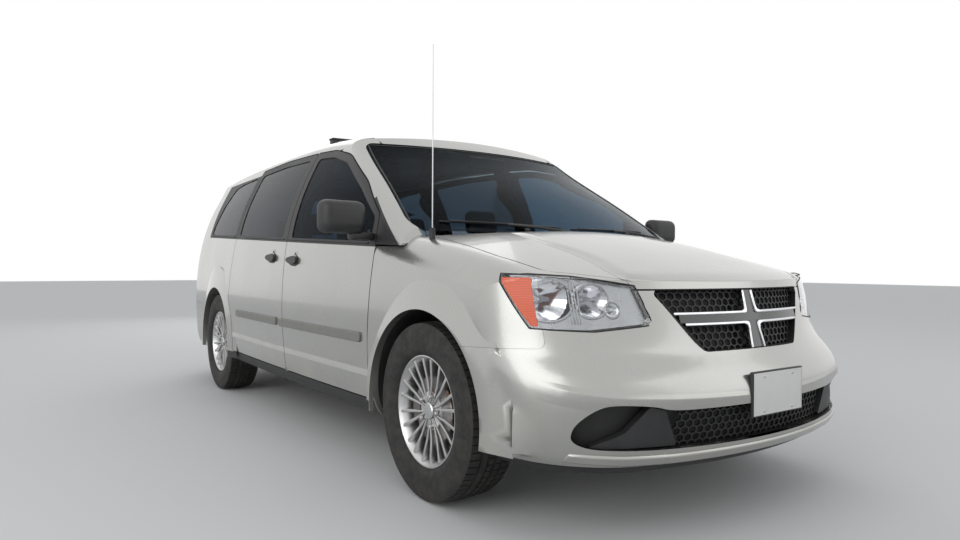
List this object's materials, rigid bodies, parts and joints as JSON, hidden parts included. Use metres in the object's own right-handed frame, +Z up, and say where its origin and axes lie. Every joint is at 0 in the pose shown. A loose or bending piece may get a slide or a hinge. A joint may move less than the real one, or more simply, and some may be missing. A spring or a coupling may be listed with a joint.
{
  "type": "minivan",
  "caption": "Seven-seat minivan with hinged front doors, sliding side doors, hood, liftgate, steered front wheels and a hollow cabin with seats.",
  "frame": {"origin": "on the ground below the middle of the body's length and width", "axes": "+X forward, +Y to the left side, +Z up"},
  "size_m": [5.1522, 2.3686, 1.895],
  "materials": {
    "body_paint": "satin",
    "clear_glass": "polished",
    "dark_glass": "polished",
    "black_plastic": "textured",
    "grey_plastic": "satin",
    "tyre_rubber": "matte",
    "alloy": "machined",
    "chrome": "polished",
    "chassis_steel": "matte",
    "cast_metal": "cast",
    "engine_alloy": "cast",
    "exhaust_steel": "dull",
    "lamp_clear": "polished",
    "lamp_red": "polished",
    "seat_cloth": "woven",
    "trim_plastic": "grained"
  },
  "bodies": {
    "root": {"body_side_left": "body_paint", "body_side_right": "body_paint", "roof": "body_paint", "fender_left": "body_paint", "fender_right": "body_paint", "front_bumper": "body_paint", "rear_bumper": "body_paint", "sliding_door_left": "body_paint", "sliding_door_right": "body_paint", "grille": "chrome", "lower_intake": "black_plastic", "headlamp_lenses": "lamp_clear", "headlamp_housings": "chrome", "tail_lamps": "lamp_red", "windscreen": "clear_glass", "side_glass": "dark_glass", "cowl": "black_plastic", "underbody": "chassis_steel", "wheel_liners": "black_plastic", "engine": "engine_alloy", "fuel_tank": "black_plastic", "exhaust": "exhaust_steel", "rear_axle": "chassis_steel", "front_subframe": "chassis_steel", "front_struts": "chassis_steel", "dashboard": "trim_plastic", "steering_wheel": "trim_plastic", "front_seats": "seat_cloth", "middle_seats": "seat_cloth", "rear_bench": "seat_cloth", "antenna": "black_plastic", "sill_cladding": "grey_plastic"},
    "door_left": {"front_door_left": "body_paint", "front_door_glass_left": "clear_glass", "mirror_left": "black_plastic"},
    "knuckle_left": {"knuckle_left": "cast_metal"},
    "door_right": {"front_door_right": "body_paint", "front_door_glass_right": "clear_glass", "mirror_right": "black_plastic"},
    "knuckle_right": {"knuckle_right": "cast_metal"},
    "hood": {"hood": "body_paint"},
    "liftgate": {"liftgate": "body_paint", "liftgate_glass": "dark_glass"},
    "wheel_front_left": {"tyre_front_left": "tyre_rubber", "rim_front_left": "alloy"},
    "wheel_front_right": {"tyre_front_right": "tyre_rubber", "rim_front_right": "alloy"},
    "wheel_rear_left": {"tyre_rear_left": "tyre_rubber", "rim_rear_left": "alloy"},
    "wheel_rear_right": {"tyre_rear_right": "tyre_rubber", "rim_rear_right": "alloy"}
  },
  "joints": [
    {"name": "front_door_left_hinge", "type": "hinge", "parent": "root", "child": "door_left", "pos_m": [1.135, 0.958, 0.7], "axis": [0, 0, -1], "range_deg": [0, 65]},
    {"name": "front_door_right_hinge", "type": "hinge", "parent": "root", "child": "door_right", "pos_m": [1.135, -0.958, 0.7], "axis": [0, 0, 1], "range_deg": [0, 65]},
    {"name": "hood_hinge", "type": "hinge", "parent": "root", "child": "hood", "pos_m": [1.425, 0, 1.075], "axis": [0, -1, 0], "range_deg": [0, 55]},
    {"name": "liftgate_hinge", "type": "hinge", "parent": "root", "child": "liftgate", "pos_m": [-2.187, 0, 1.7], "axis": [0, 1, 0], "range_deg": [0, 85]},
    {"name": "steer_left", "type": "hinge", "parent": "root", "child": "knuckle_left", "pos_m": [1.6105, 0.775, 0.362], "axis": [0, 0, 1], "range_deg": [-35, 35]},
    {"name": "steer_right", "type": "hinge", "parent": "root", "child": "knuckle_right", "pos_m": [1.6105, -0.775, 0.362], "axis": [0, 0, 1], "range_deg": [-35, 35]},
    {"name": "wheel_front_left_spin", "type": "hinge", "parent": "knuckle_left", "child": "wheel_front_left", "pos_m": [1.6105, 0.825, 0.362], "axis": [0, 1, 0], "continuous": true},
    {"name": "wheel_front_right_spin", "type": "hinge", "parent": "knuckle_right", "child": "wheel_front_right", "pos_m": [1.6105, -0.825, 0.362], "axis": [0, 1, 0], "continuous": true},
    {"name": "wheel_rear_left_spin", "type": "hinge", "parent": "root", "child": "wheel_rear_left", "pos_m": [-1.4675, 0.825, 0.362], "axis": [0, 1, 0], "continuous": true},
    {"name": "wheel_rear_right_spin", "type": "hinge", "parent": "root", "child": "wheel_rear_right", "pos_m": [-1.4675, -0.825, 0.362], "axis": [0, 1, 0], "continuous": true}
  ],
  "couplings": [
    {"joint": "steer_right", "follows": "steer_left", "ratio": 1}
  ]
}
